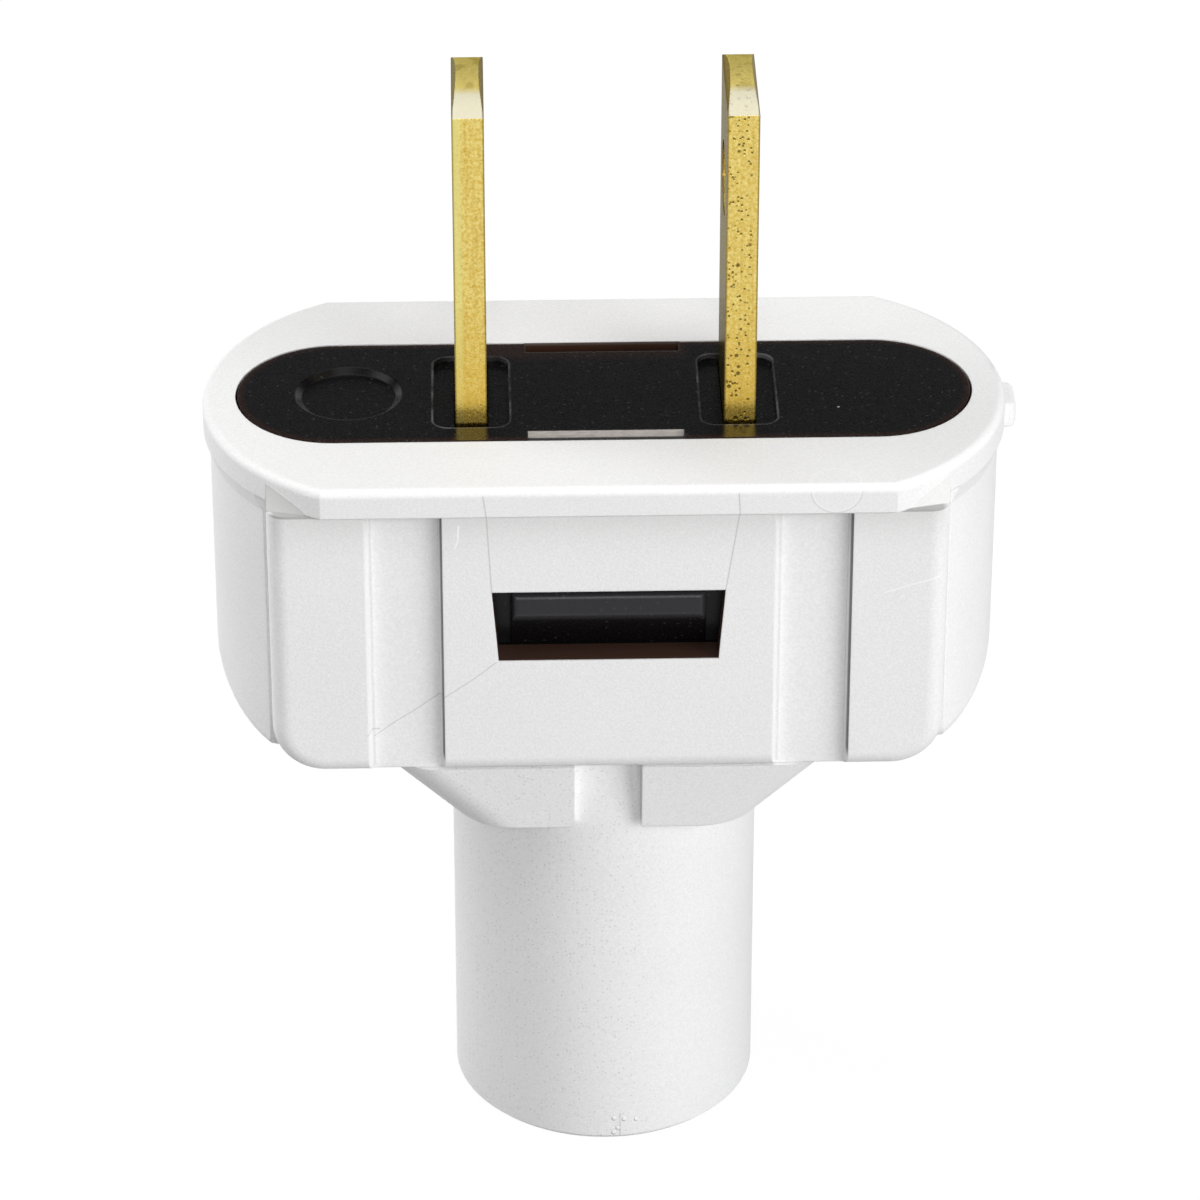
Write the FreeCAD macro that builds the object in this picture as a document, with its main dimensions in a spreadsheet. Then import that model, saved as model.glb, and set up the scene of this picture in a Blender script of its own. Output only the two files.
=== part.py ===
import FreeCAD, Part
import math
import os
import Sketcher
from FreeCAD import Vector

# A rewirable two-blade plug: a white flexible shell with a round cord neck, and a black core that
# carries the blades, snaps into the shell from above and shows its latch hooks in two windows.
# Frame: origin at the centre of the neck's end, +Z up along the blades, X across the blades.

# Driving sizes in millimetres, each with the place it is measured.
SIZES = {
    # Cord neck and the shoulder above it
    "neck_radius": 7.5,
    "neck_length": 19.15,
    "neck_edge": 0.25,
    "shoulder_height": 3.9,
    "shoulder_ledge": 0.12,
    "shoulder_depth": 15.9,
    "shoulder_corner": 3.2,
    "shoulder_top_width": 22.6,
    "shoulder_top_depth": 17.4,
    "notch_width": 3.25,
    "cord_bore_radius": 4.25,
    # Body of the shell: rounded ends, front and back pads, band round the rim
    "body_height": 15.85,
    "end_spacing": 17.34,
    "end_radius": 10.2,
    "end_depth": 13.8,
    "end_corner": 4.1,
    "end_bottom_round": 0.8,
    "lip_overhang": 0.3,
    "lip_taper": 0.9,
    "band_height": 1.45,
    "band_depth": 18.7,
    "band_edge": 0.4,
    "band_corner_start": 26.4,
    "band_corner_depth": 17.1,
    "band_corner_inset": 0.15,
    "pad_width": 32.0,
    "pad_depth": 18.2,
    "pad_corner": 2.5,
    "pad_edge": 0.9,
    "channel_inner": 16.0,
    "channel_width": 3.25,
    "channel_depth": 0.65,
    "channel_draft": 0.2,
    "gate_height": 1.3,
    "gate_width": 2.0,
    "gate_proud": 0.5,
    "gate_drop": 0.4,
    "gate_round": 0.35,
    # Room inside the shell
    "floor_thickness": 1.85,
    "core_clearance": 0.1,
    "window_sill": 6.35,
    "window_height": 3.8,
    "window_width_top": 11.0,
    "window_width_bottom": 10.4,
    "window_wall": 1.5,
    # Core
    "core_length": 35.0,
    "core_depth": 9.3,
    "plate_thickness": 3.2,
    "rail_thickness": 0.8,
    "rail_length": 29.0,
    "wire_room": 3.1,
    "boss_width": 11.4,
    "boss_above": 2.6,
    "boss_below": 3.2,
    "boss_skirt": 0.5,
    "hook_width": 9.2,
    "hook_round": 0.4,
    "hook_inset": 0.25,
    "hook_gap": 0.3,
    "hook_face": 1.1,
    "hook_sill_gap": 0.12,
    "hook_ramp": 1.25,
    "notch_top": 7.4,
    "notch_reach": 0.85,
    "notch_drop": 1.3,
    "recess_width": 3.6,
    "recess_depth": 6.8,
    "recess_corner": 0.7,
    "recess_drop": 0.25,
    "ring_radius": 2.55,
    "ring_bevel": 0.3,
    "ring_drop": 0.25,
    "ring_offset": 12.2,
    # Blades
    "blade_spacing": 12.7,
    "blade_width": 6.35,
    "blade_thickness": 1.5,
    "blade_length": 17.0,
    "blade_clearance": 0.05,
    "tip_radius": 6.5,
    "tip_bevel": 0.22,
    "tip_bevel_length": 0.85,
    "blade_hole_radius": 1.8,
    "blade_hole_height": 11.35,
    "ear_width": 7.5,
    "tail_gap": 0.1,
    # Terminal screws
    "screw_height": 6.1,
    "thread_radius": 1.72,
    "thread_clearance": 0.03,
    "thread_length": 5.0,
    "bore_clearance": 0.25,
    "head_radius": 3.2,
    "head_height": 1.9,
    "head_crown": 0.6,
    "head_crown_run": 1.2,
    "slot_width": 1.1,
    "slot_depth": 0.9,
}

doc = FreeCAD.newDocument("plug")
sheet = doc.addObject("Spreadsheet::Sheet", "sizes")


class Size:
    """A length that keeps its number together with the sheet expression that gives it."""

    def __init__(self, value, text):
        self.value = value
        self.text = text

    def __add__(self, other):
        return Size(self.value + other.value, f"({self.text} + {other.text})")

    def __sub__(self, other):
        return Size(self.value - other.value, f"({self.text} - {other.text})")

    def __mul__(self, number):
        return Size(self.value * number, f"({self.text} * {number})")

    def __truediv__(self, number):
        return Size(self.value / number, f"({self.text} / {number})")

    def __neg__(self):
        return Size(-self.value, f"(-1 * {self.text})")


def third_side(hypotenuse, side):
    """Length of a right triangle's other side."""
    value = math.sqrt(hypotenuse.value ** 2 - side.value ** 2)
    return Size(value, f"sqrt({hypotenuse.text} ^ 2 - {side.text} ^ 2)")


def fill_sheet():
    named = {}
    for row, (alias, value) in enumerate(SIZES.items(), start=1):
        sheet.set(f"A{row}", alias)
        sheet.set(f"B{row}", str(value))
        sheet.setAlias(f"B{row}", alias)
        named[alias] = Size(value, f"sizes.{alias}")
    doc.recompute()
    return named


size = fill_sheet()
ORIGIN = Size(0.0, "0")

# Levels and half sizes that several pieces share
body_bottom = size["neck_length"] + size["shoulder_height"]
rim_top = body_bottom + size["body_height"]
band_bottom = rim_top - size["band_height"]
floor_top = body_bottom + size["floor_thickness"]
plate_bottom = rim_top - size["plate_thickness"]
end_centre = size["end_spacing"] / 2
core_half_depth = size["core_depth"] / 2
core_end_centre = (size["core_length"] - size["core_depth"]) / 2
window_bottom = body_bottom + size["window_sill"]
window_top = window_bottom + size["window_height"]
pad_face = size["pad_depth"] / 2
pocket_face = pad_face - size["window_wall"]
boss_top = window_top + size["boss_above"]
boss_bottom = window_bottom - size["boss_below"]
rail_inner = core_half_depth - size["rail_thickness"]
blade_centre = size["blade_spacing"] / 2
blade_inner = blade_centre - size["blade_thickness"] / 2
blade_outer = blade_centre + size["blade_thickness"] / 2
blade_tip = rim_top + size["blade_length"]
screw_level = floor_top + size["screw_height"]
blade_slot_thickness = size["blade_thickness"] + size["blade_clearance"] * 2
blade_slot_width = size["blade_width"] + size["blade_clearance"] * 2


def new_body(label):
    body = doc.addObject("PartDesign::Body", label)
    body.Label = label
    return body


def sketch_on(body, name, role, offset=ORIGIN):
    """An empty sketch on one of the body's own planes, moved along its normal."""
    plane = next(item for item in body.Origin.OriginFeatures if item.Role == role)
    sketch = body.newObject("Sketcher::SketchObject", name)
    sketch.AttachmentSupport = [(plane, "")]
    sketch.MapMode = "FlatFace"
    sketch.AttachmentOffset = FreeCAD.Placement(Vector(0, 0, offset.value), FreeCAD.Rotation())
    sketch.setExpression("AttachmentOffset.Base.z", offset.text)
    return sketch


def hold(sketch, constraint, length):
    """Adds a dimension to the sketch and ties it to the sheet."""
    index = sketch.addConstraint(constraint)
    sketch.setExpression(f"Constraints[{index}]", length.text)


def hold_point(sketch, geometry, end, across, up):
    """Fixes a point of the sketch at a place measured from the sketch's origin."""
    for kind, axis, length in (("DistanceX", -2, across), ("DistanceY", -1, up)):
        if length is ORIGIN:
            sketch.addConstraint(Sketcher.Constraint("PointOnObject", geometry, end, axis))
        elif length.value > 0:
            hold(sketch, Sketcher.Constraint(kind, -1, 1, geometry, end, length.value), length)
        else:
            hold(sketch, Sketcher.Constraint(kind, geometry, end, -1, 1, -length.value), -length)


def corner_arc(before, corner, after, radius):
    """Start, end and circle of the arc of this radius that rounds a corner."""
    to_before = (before - corner).normalize()
    to_after = (after - corner).normalize()
    half = to_before.getAngle(to_after) / 2
    reach = radius / math.tan(half)
    middle = (to_before + to_after).normalize()
    centre = corner + middle * (radius / math.sin(half))
    turns_left = to_before.cross(to_after).z < 0
    return corner + to_before * reach, corner + to_after * reach, centre, turns_left


def outline(sketch, corners):
    """A closed outline through corners (across, up, radius), with an arc where a radius is given."""
    points = [Vector(across.value, up.value, 0) for across, up, radius in corners]
    count = len(points)
    starts = list(points)
    ends = list(points)
    arcs = {}
    for place, (across, up, radius) in enumerate(corners):
        if radius is None:
            continue
        found = corner_arc(points[place - 1], points[place], points[(place + 1) % count], radius.value)
        ends[place], starts[place], centre, turns_left = found
        arcs[place] = (centre, turns_left)
    lines = []
    for place in range(count):
        side = Part.LineSegment(starts[place], ends[(place + 1) % count])
        lines.append(sketch.addGeometry(side, False))
    for place, (across, up, radius) in enumerate(corners):
        line_in = lines[place - 1]
        line_out = lines[place]
        if radius is None:
            sketch.addConstraint(Sketcher.Constraint("Coincident", line_in, 2, line_out, 1))
            hold_point(sketch, line_out, 1, across, up)
            continue
        centre, turns_left = arcs[place]
        first, last = (ends[place], starts[place]) if turns_left else (starts[place], ends[place])
        angles = [math.atan2(point.y - centre.y, point.x - centre.x) for point in (first, last)]
        circle = Part.Circle(centre, Vector(0, 0, 1), radius.value)
        arc = sketch.addGeometry(Part.ArcOfCircle(circle, angles[0], angles[1]), False)
        vertex = sketch.addGeometry(Part.Point(points[place]), True)
        hold_point(sketch, vertex, 1, across, up)
        sketch.addConstraint(Sketcher.Constraint("PointOnObject", vertex, 1, line_in))
        sketch.addConstraint(Sketcher.Constraint("PointOnObject", vertex, 1, line_out))
        arc_in, arc_out = (1, 2) if turns_left else (2, 1)
        sketch.addConstraint(Sketcher.Constraint("Tangent", line_in, 2, arc, arc_in))
        sketch.addConstraint(Sketcher.Constraint("Tangent", arc, arc_out, line_out, 1))
        hold(sketch, Sketcher.Constraint("Radius", arc, radius.value), radius)


def rectangle(sketch, left, right, bottom, top, radius=None):
    outline(sketch, [(left, bottom, radius), (right, bottom, radius),
                     (right, top, radius), (left, top, radius)])


def circle(sketch, radius, across=ORIGIN, up=ORIGIN):
    ring = Part.Circle(Vector(across.value, up.value, 0), Vector(0, 0, 1), radius.value)
    index = sketch.addGeometry(ring, False)
    hold_point(sketch, index, 3, across, up)
    hold(sketch, Sketcher.Constraint("Radius", index, radius.value), radius)


def long_round(sketch, spacing_half, radius, half_depth):
    """Two straight sides at the half depth, closed by an arc of the radius round each end centre."""
    reach = math.asin(half_depth.value / radius.value)
    side = third_side(radius, half_depth).value
    edge = spacing_half.value + side
    right_arc = Part.ArcOfCircle(Part.Circle(Vector(spacing_half.value, 0, 0), Vector(0, 0, 1), radius.value),
                                 -reach, reach)
    left_arc = Part.ArcOfCircle(Part.Circle(Vector(-spacing_half.value, 0, 0), Vector(0, 0, 1), radius.value),
                                math.pi - reach, math.pi + reach)
    right = sketch.addGeometry(right_arc, False)
    left = sketch.addGeometry(left_arc, False)
    back = sketch.addGeometry(Part.LineSegment(Vector(edge, half_depth.value, 0),
                                               Vector(-edge, half_depth.value, 0)), False)
    front = sketch.addGeometry(Part.LineSegment(Vector(-edge, -half_depth.value, 0),
                                                Vector(edge, -half_depth.value, 0)), False)
    for first, first_end, second, second_end in ((right, 2, back, 1), (back, 2, left, 1),
                                                 (left, 2, front, 1), (front, 2, right, 1)):
        sketch.addConstraint(Sketcher.Constraint("Coincident", first, first_end, second, second_end))
    sketch.addConstraint(Sketcher.Constraint("Horizontal", back))
    sketch.addConstraint(Sketcher.Constraint("Horizontal", front))
    hold_point(sketch, right, 3, spacing_half, ORIGIN)
    hold_point(sketch, left, 3, -spacing_half, ORIGIN)
    hold(sketch, Sketcher.Constraint("Radius", right, radius.value), radius)
    hold(sketch, Sketcher.Constraint("Radius", left, radius.value), radius)
    hold(sketch, Sketcher.Constraint("DistanceY", -1, 1, back, 1, half_depth.value), half_depth)
    hold(sketch, Sketcher.Constraint("DistanceY", front, 1, -1, 1, half_depth.value), half_depth)


def stadium(sketch, spacing_half, radius):
    """Two straight sides that run tangent into a half circle round each end centre."""
    centres = (Vector(spacing_half.value, 0, 0), Vector(-spacing_half.value, 0, 0))
    right_circle, left_circle = (Part.Circle(centre, Vector(0, 0, 1), radius.value) for centre in centres)
    right = sketch.addGeometry(Part.ArcOfCircle(right_circle, -math.pi / 2, math.pi / 2), False)
    left = sketch.addGeometry(Part.ArcOfCircle(left_circle, math.pi / 2, 3 * math.pi / 2), False)
    up = Vector(0, radius.value, 0)
    back = sketch.addGeometry(Part.LineSegment(centres[0] + up, centres[1] + up), False)
    front = sketch.addGeometry(Part.LineSegment(centres[1] - up, centres[0] - up), False)
    for first, second in ((right, back), (back, left), (left, front), (front, right)):
        sketch.addConstraint(Sketcher.Constraint("Tangent", first, 2, second, 1))
    hold_point(sketch, right, 3, spacing_half, ORIGIN)
    hold_point(sketch, left, 3, -spacing_half, ORIGIN)
    hold(sketch, Sketcher.Constraint("Radius", right, radius.value), radius)


def extrude(kind, body, name, sketch, length, side="One side", flip=False):
    """Pads or pockets a sketch by a length from the sheet."""
    feature = body.newObject(f"PartDesign::{kind}", name)
    feature.Profile = sketch
    feature.SideType = side
    feature.Reversed = flip
    feature.Length = length.value
    feature.setExpression("Length", length.text)
    doc.recompute()
    return feature


def pad(body, name, sketch, length, side="One side", flip=False):
    return extrude("Pad", body, name, sketch, length, side, flip)


def pocket(body, name, sketch, length, side="One side", flip=False):
    before = body.Shape.Volume
    feature = extrude("Pocket", body, name, sketch, length, side, flip)
    if not body.Shape.Volume < before:
        raise RuntimeError(f"{name} cuts nothing")
    return feature


def loft(body, name, lower, upper, kind="Additive"):
    feature = body.newObject(f"PartDesign::{kind}Loft", name)
    feature.Profile = lower
    feature.Sections = [upper]
    feature.Ruled = True
    doc.recompute()
    return feature


def dress_edges(body, name, kind, measure, length, chosen):
    """Rounds or bevels the edges of the body's present shape that the test picks."""
    base = body.Tip
    names = [f"Edge{number}" for number, edge in enumerate(base.Shape.Edges, start=1) if chosen(edge)]
    if not names:
        raise RuntimeError(f"{name} finds no edge")
    feature = body.newObject(f"PartDesign::{kind}", name)
    feature.Base = (base, names)
    setattr(feature, measure, length.value)
    feature.setExpression(measure, length.text)
    doc.recompute()
    return feature


def round_edges(body, name, radius, chosen):
    return dress_edges(body, name, "Fillet", "Radius", radius, chosen)


def bevel_edges(body, name, width, chosen):
    return dress_edges(body, name, "Chamfer", "Size", width, chosen)


def mirror(body, name, originals, role):
    plane = next(item for item in body.Origin.OriginFeatures if item.Role == role)
    feature = body.newObject("PartDesign::Mirrored", name)
    feature.Originals = originals
    feature.MirrorPlane = (plane, [""])
    body.Tip = feature
    doc.recompute()
    return feature


def near(first, second):
    tolerance = 1e-4
    return abs(first - second) < tolerance


def make_shell_body():
    """The flattened body: rounded ends from the floor to the rim, the lip that widens, and the band."""
    body = new_body("shell_body")
    half_depth = size["end_depth"] / 2
    lip_radius = size["end_radius"] + size["lip_overhang"]
    taper_bottom = band_bottom - size["lip_taper"]

    ends = sketch_on(body, "ends_plan", "XY_Plane", body_bottom)
    long_round(ends, end_centre, size["end_radius"], half_depth)
    pad(body, "ends", ends, size["body_height"])

    trim = sketch_on(body, "ends_trim_face", "XZ_Plane")
    corner = size["end_corner"]
    half_length = end_centre + lip_radius
    above = rim_top + size["band_height"]
    rectangle(trim, -half_length - corner, half_length + corner, body_bottom - corner, above + corner)
    outline(trim, [(-half_length, body_bottom, corner), (half_length, body_bottom, corner),
                   (half_length, above, None), (-half_length, above, None)])
    pocket(body, "ends_trim", trim, size["band_depth"], "Symmetric")

    def on_end_bottom(edge):
        low = edge.BoundBox.ZMax < (body_bottom + corner).value
        return low and edge.Curve.TypeId != "Part::GeomLine"

    round_edges(body, "ends_bottom_round", size["end_bottom_round"], on_end_bottom)

    lip_low = sketch_on(body, "lip_low_plan", "XY_Plane", taper_bottom)
    long_round(lip_low, end_centre, size["end_radius"], half_depth)
    lip_high = sketch_on(body, "lip_high_plan", "XY_Plane", band_bottom)
    long_round(lip_high, end_centre, lip_radius, half_depth)
    loft(body, "lip", lip_low, lip_high)

    band = sketch_on(body, "band_plan", "XY_Plane", band_bottom)
    long_round(band, end_centre, lip_radius, size["band_depth"] / 2)
    pad(body, "band", band, size["band_height"])
    round_edges(body, "band_round", size["band_edge"],
                lambda edge: near(edge.BoundBox.ZMin, rim_top.value))
    make_band_corners(body, lip_radius)

    gate = sketch_on(body, "gate_mark", "XZ_Plane")
    gate_top = rim_top - size["gate_drop"]
    gate_end = end_centre + lip_radius + size["gate_proud"]
    rectangle(gate, end_centre, gate_end, gate_top - size["gate_height"], gate_top)
    pad(body, "gate", gate, size["gate_width"], "Symmetric")
    round_edges(body, "gate_round", size["gate_round"],
                lambda edge: near(edge.BoundBox.XMin, gate_end.value))
    return body


def make_band_corners(body, lip_radius):
    """Wedges that square the band's corners at its underside, over the pads, and die out at its top."""
    inner = size["band_corner_start"] / 2
    outer = size["pad_width"] / 2
    root = size["end_depth"] / 2
    face = size["band_depth"] / 2 - size["band_corner_inset"]
    corner = size["band_corner_depth"] / 2
    faded = third_side(lip_radius, outer - end_centre) - size["band_corner_inset"]
    wedges = []
    for label, side in (("front", -1), ("back", 1)):
        low = sketch_on(body, f"{label}_corner_low_plan", "XY_Plane", band_bottom)
        outline(low, [(inner, root * side, None), (outer, root * side, None),
                      (outer, corner * side, None), (inner, face * side, None)])
        high = sketch_on(body, f"{label}_corner_high_plan", "XY_Plane", rim_top - size["band_edge"])
        outline(high, [(inner, root * side, None), (outer, root * side, None),
                       (outer, faded * side, None), (inner, face * side, None)])
        wedges.append(loft(body, f"{label}_corner", low, high))
    mirror(body, "band_corners", wedges, "YZ_Plane")


def make_shell_pads():
    """The front and back pads in one block, with their soft edges and the four channels."""
    body = new_body("shell_pads")
    half_width = size["pad_width"] / 2
    corner = size["pad_corner"]

    face = sketch_on(body, "pad_face", "XZ_Plane")
    outline(face, [(-half_width, body_bottom, corner), (half_width, body_bottom, corner),
                   (half_width, band_bottom, None), (-half_width, band_bottom, None)])
    pad(body, "pads", face, size["pad_depth"], "Symmetric")

    def on_face_edge(edge):
        box = edge.BoundBox
        on_face = near(box.YLength, 0) and near(abs(box.YMin), pad_face.value)
        return on_face and not near(box.ZMin, band_bottom.value)

    round_edges(body, "pad_round", size["pad_edge"], on_face_edge)

    channel_near = size["channel_inner"] / 2
    channel_far = channel_near + size["channel_width"]
    channel_floor = pad_face - size["channel_depth"]
    mouth_near = channel_near - size["channel_draft"]
    mouth_far = channel_far + size["channel_draft"]
    outside = pad_face + size["pad_edge"]
    cuts = []
    for label, side in (("front", -1), ("back", 1)):
        channel = sketch_on(body, f"{label}_channel_section", "XY_Plane", body_bottom)
        outline(channel, [(channel_near, channel_floor * side, None), (mouth_near, pad_face * side, None),
                          (mouth_near, outside * side, None), (mouth_far, outside * side, None),
                          (mouth_far, pad_face * side, None), (channel_far, channel_floor * side, None)])
        cuts.append(pocket(body, f"{label}_channel", channel, band_bottom - body_bottom, flip=True))
    mirror(body, "channels", cuts, "YZ_Plane")
    return body


def make_shell_neck():
    """The cord neck, and the shoulder that widens from it to the body, notched front and back."""
    body = new_body("shell_neck")
    corner = size["shoulder_corner"]
    overlap = size["floor_thickness"]

    low = sketch_on(body, "shoulder_low_plan", "XY_Plane", size["neck_length"])
    low_half_width = size["neck_radius"] + size["shoulder_ledge"]
    rectangle(low, -low_half_width, low_half_width,
              -size["shoulder_depth"] / 2, size["shoulder_depth"] / 2, corner)
    high = sketch_on(body, "shoulder_high_plan", "XY_Plane", body_bottom)
    rectangle(high, -size["shoulder_top_width"] / 2, size["shoulder_top_width"] / 2,
              -size["shoulder_top_depth"] / 2, size["shoulder_top_depth"] / 2, corner)
    loft(body, "shoulder", low, high)

    notch = sketch_on(body, "notch_face", "XZ_Plane")
    half_notch = size["notch_width"] / 2
    rectangle(notch, -half_notch, half_notch, size["neck_length"] - overlap, body_bottom + overlap)
    pocket(body, "notch", notch, size["shoulder_top_depth"], "Symmetric")

    neck = sketch_on(body, "neck_section", "XY_Plane")
    circle(neck, size["neck_radius"])
    pad(body, "neck", neck, floor_top)
    bevel_edges(body, "neck_bevel", size["neck_edge"], lambda edge: near(edge.BoundBox.ZMax, 0))
    return body


def make_shell_room():
    """What is hollow in the shell: the seat of the core, the latch pockets, the windows and the cord bore."""
    body = new_body("shell_room")
    clearance = size["core_clearance"]
    past_rim = size["band_height"]

    bore = sketch_on(body, "cord_bore_section", "XY_Plane", -past_rim)
    circle(bore, size["cord_bore_radius"])
    pad(body, "cord_bore", bore, floor_top + past_rim * 2)

    seat = sketch_on(body, "core_seat_plan", "XY_Plane", floor_top)
    stadium(seat, core_end_centre, core_half_depth + clearance)
    pad(body, "core_seat", seat, rim_top - floor_top + past_rim)

    latch = sketch_on(body, "latch_pocket_face", "XZ_Plane")
    half_pocket = size["boss_width"] / 2 + clearance
    rectangle(latch, -half_pocket, half_pocket, boss_bottom - clearance, boss_top + clearance)
    pad(body, "latch_pocket", latch, pocket_face * 2, "Symmetric")

    window = sketch_on(body, "window_face", "XZ_Plane")
    half_low = size["window_width_bottom"] / 2
    half_high = size["window_width_top"] / 2
    outline(window, [(-half_low, window_bottom, None), (half_low, window_bottom, None),
                     (half_high, window_top, None), (-half_high, window_top, None)])
    pad(body, "window", window, size["pad_depth"] + past_rim, "Symmetric")
    return body


def make_shell():
    """One white moulding: the body, its pads and its neck joined, then hollowed."""
    joined = doc.addObject("Part::MultiFuse", "shell_solid")
    joined.Shapes = [make_shell_body(), make_shell_pads(), make_shell_neck()]
    joined.Refine = True
    shell = doc.addObject("Part::Cut", "shell")
    shell.Base = joined
    shell.Tool = make_shell_room()
    shell.Refine = True
    shell.Label = "shell"
    doc.recompute()
    return shell


def make_latch(body, label, side):
    """A latch of the core: a boss that fills the shell's pocket, and the hook that shows in the window."""
    root = core_half_depth - size["rail_thickness"] / 2
    boss_face = pocket_face - size["core_clearance"]
    skirt = window_bottom - size["boss_skirt"]
    boss = sketch_on(body, f"{label}_boss_section", "YZ_Plane")
    outline(boss, [(root * side, boss_top, None), (root * side, boss_bottom, None),
                   (core_half_depth * side, boss_bottom, None), (boss_face * side, skirt, None),
                   (boss_face * side, boss_top, None)])
    pad(body, f"{label}_boss", boss, size["boss_width"], "Symmetric")

    hook_top = window_top - size["hook_gap"]
    hook_bottom = window_bottom + size["hook_sill_gap"]
    hook_out = pad_face - size["hook_inset"]
    hook = sketch_on(body, f"{label}_hook_section", "YZ_Plane")
    outline(hook, [(core_half_depth * side, hook_top, None), (core_half_depth * side, hook_bottom, None),
                   ((hook_out - size["hook_ramp"]) * side, hook_bottom, None),
                   (hook_out * side, hook_top - size["hook_face"], None), (hook_out * side, hook_top, None)])
    pad(body, f"{label}_hook", hook, size["hook_width"], "Symmetric")

    def on_hook_face(edge):
        box = edge.BoundBox
        return near(box.YMin, hook_out.value * side) and near(box.YLength, 0)

    round_edges(body, f"{label}_hook_round", size["hook_round"], on_hook_face)


def make_core():
    """The black moulding that carries the blades and terminals and latches into the shell."""
    body = new_body("core")
    core_height = rim_top - floor_top
    chamber_height = plate_bottom - floor_top
    rail_half_length = size["rail_length"] / 2
    past_end = size["core_length"] / 2 + size["rail_thickness"]
    past_side = core_half_depth + size["rail_thickness"]

    block = sketch_on(body, "core_plan", "XY_Plane", floor_top)
    stadium(block, core_end_centre, core_half_depth)
    pad(body, "core_block", block, core_height)

    chamber = sketch_on(body, "chamber_plan", "XY_Plane", floor_top)
    outline(chamber, [(-past_end, -past_side, None), (-rail_half_length, -past_side, None),
                      (-rail_half_length, -rail_inner, None), (rail_half_length, -rail_inner, None),
                      (rail_half_length, -past_side, None), (past_end, -past_side, None),
                      (past_end, past_side, None), (rail_half_length, past_side, None),
                      (rail_half_length, rail_inner, None), (-rail_half_length, rail_inner, None),
                      (-rail_half_length, past_side, None), (-past_end, past_side, None)])
    pocket(body, "terminal_chambers", chamber, chamber_height, flip=True)

    centre = sketch_on(body, "centre_block_plan", "XY_Plane", floor_top + size["wire_room"])
    half_centre = blade_inner - size["blade_clearance"]
    rectangle(centre, -half_centre, half_centre, -rail_inner, rail_inner)
    pad(body, "centre_block", centre, chamber_height - size["wire_room"])

    make_latch(body, "front", -1)
    make_latch(body, "back", 1)

    pry = sketch_on(body, "pry_notch_section", "YZ_Plane")
    notch_inner = core_half_depth - size["notch_reach"]
    beyond = core_half_depth + size["notch_reach"]
    notch_floor = rim_top - size["notch_drop"]
    above = rim_top + size["notch_reach"]
    outline(pry, [(-notch_inner, rim_top, None), (-core_half_depth, notch_floor, None),
                  (-beyond, notch_floor, None), (-beyond, above, None), (-notch_inner, above, None)])
    front_notch = pocket(body, "pry_notch", pry, size["notch_top"], "Symmetric")
    mirror(body, "pry_notches", [front_notch], "XZ_Plane")

    recess = sketch_on(body, "blade_recess_plan", "XY_Plane", rim_top)
    half_recess = size["recess_width"] / 2
    rectangle(recess, blade_centre - half_recess, blade_centre + half_recess,
              -size["recess_depth"] / 2, size["recess_depth"] / 2, size["recess_corner"])
    right_recess = pocket(body, "blade_recess", recess, size["recess_drop"])
    slot = sketch_on(body, "blade_slot_plan", "XY_Plane", rim_top)
    half_slot = blade_slot_thickness / 2
    rectangle(slot, blade_centre - half_slot, blade_centre + half_slot,
              -blade_slot_width / 2, blade_slot_width / 2)
    right_slot = pocket(body, "blade_slot", slot, size["plate_thickness"])
    mirror(body, "blade_openings", [right_recess, right_slot], "YZ_Plane")

    bores = sketch_on(body, "screw_bore_section", "YZ_Plane")
    circle(bores, size["thread_radius"] + size["bore_clearance"], ORIGIN, screw_level)
    pocket(body, "screw_bores", bores, size["blade_spacing"], "Symmetric")

    ring = sketch_on(body, "ring_mark_edge", "XY_Plane", rim_top)
    circle(ring, size["ring_radius"], -size["ring_offset"], ORIGIN)
    ring_floor = sketch_on(body, "ring_mark_floor", "XY_Plane", rim_top - size["ring_drop"])
    circle(ring_floor, size["ring_radius"] - size["ring_bevel"], -size["ring_offset"], ORIGIN)
    loft(body, "ring_mark", ring, ring_floor, "Subtractive")
    return body


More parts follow.
